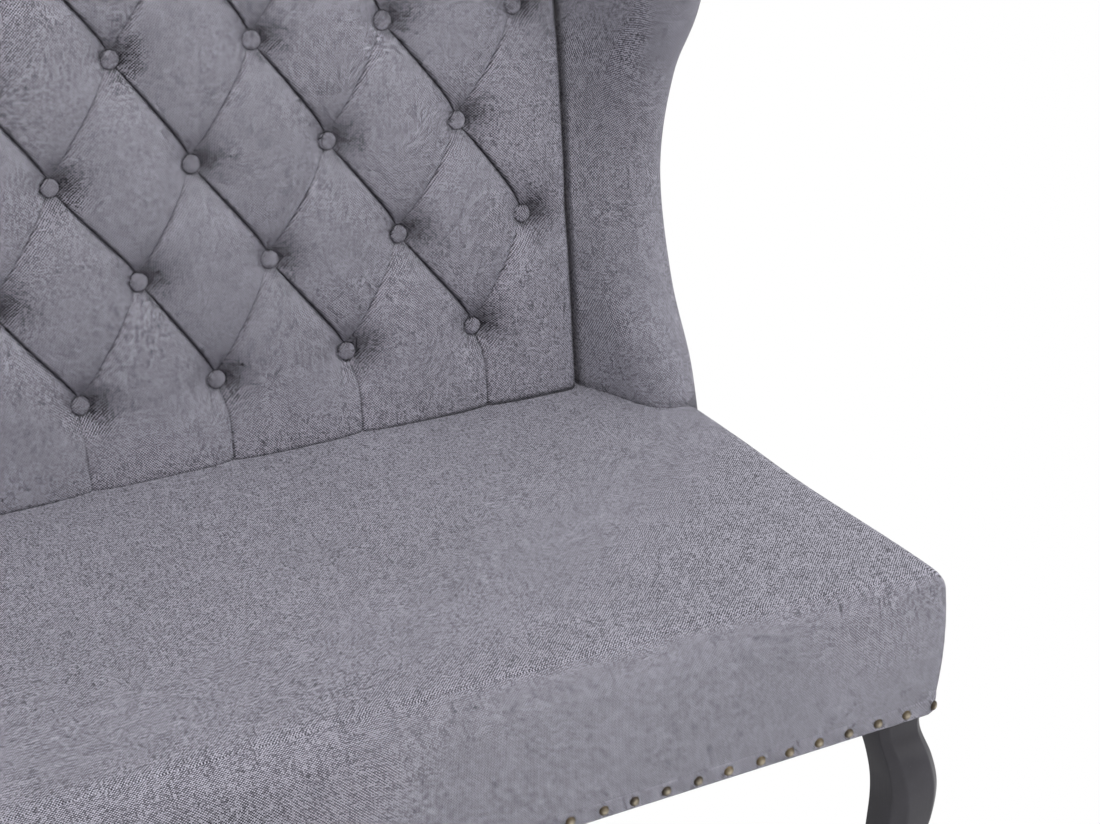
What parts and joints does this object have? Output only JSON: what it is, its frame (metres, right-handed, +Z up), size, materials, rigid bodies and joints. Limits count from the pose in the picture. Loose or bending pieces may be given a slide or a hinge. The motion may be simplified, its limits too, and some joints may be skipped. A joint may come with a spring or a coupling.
{
  "type": "two-seater wing-back settee",
  "caption": "Upright upholstered settee for two with a deep-buttoned inside back, curved padded wings, a plain padded seat, nailhead trim and black cabriole front legs.",
  "frame": {"origin": "on the floor, under the middle of the settee's plan bounding box", "axes": "+X across the settee to the sitter's left as seen from behind, which is the viewer's right in front; +Y from the seat's front to the back; +Z up"},
  "size_m": [1.237, 0.7316, 1.13],
  "materials": {
    "upholstery_cloth": "heathered plain weave, matt",
    "outside_cloth": "the same weave, stretched flat",
    "black_wood": "black lacquer, satin",
    "beech": "sawn and planed, unfinished",
    "jute": "woven strap",
    "foam": "cut foam with wadding",
    "antique_brass": "antiqued dome-headed nails",
    "zinc_steel": "zinc plated",
    "black_nylon": "moulded",
    "black_cambric": "non-woven, matt"
  },
  "bodies": {
    "root": {"back_bolt_inner_left": "zinc_steel", "back_bolt_inner_right": "zinc_steel", "back_bolt_outer_left": "zinc_steel", "back_bolt_outer_right": "zinc_steel", "back_bottom_rail": "beech", "back_centre_post": "beech", "back_foam": "foam", "back_lower_rail": "beech", "back_post_left": "beech", "back_post_right": "beech", "back_top_rail": "beech", "back_webbing_1": "jute", "back_webbing_2": "jute", "back_webbing_3": "jute", "back_webbing_4": "jute", "corner_block_front_left": "beech", "corner_block_front_right": "beech", "corner_block_rear_left": "beech", "corner_block_rear_right": "beech", "dust_cover": "black_cambric", "glide_front_left": "black_nylon", "glide_front_right": "black_nylon", "glide_rear_left": "black_nylon", "glide_rear_right": "black_nylon", "hanger_bolt_front_left": "zinc_steel", "hanger_bolt_front_right": "zinc_steel", "hanger_bolt_rear_left": "zinc_steel", "hanger_bolt_rear_right": "zinc_steel", "inside_back_cover": "upholstery_cloth", "leg_front_left": "black_wood", "leg_front_right": "black_wood", "leg_rear_left": "black_wood", "leg_rear_right": "black_wood", "nail_band": "antique_brass", "outside_back_cover": "outside_cloth", "seat_back_rail": "beech", "seat_centre_brace": "beech", "seat_cover": "upholstery_cloth", "seat_foam": "foam", "seat_front_rail": "beech", "seat_side_rail_left": "beech", "seat_side_rail_right": "beech", "seat_webbing_across_1": "jute", "seat_webbing_across_2": "jute", "seat_webbing_along_1": "jute", "seat_webbing_along_2": "jute", "seat_webbing_along_3": "jute", "seat_webbing_along_4": "jute", "wing_cover_left": "upholstery_cloth", "wing_cover_right": "upholstery_cloth", "wing_frame_left": "beech", "wing_frame_right": "beech", "wing_outer_panel_left": "outside_cloth", "wing_outer_panel_right": "outside_cloth", "wing_pad_left": "foam", "wing_pad_right": "foam"}
  },
  "joints": []
}
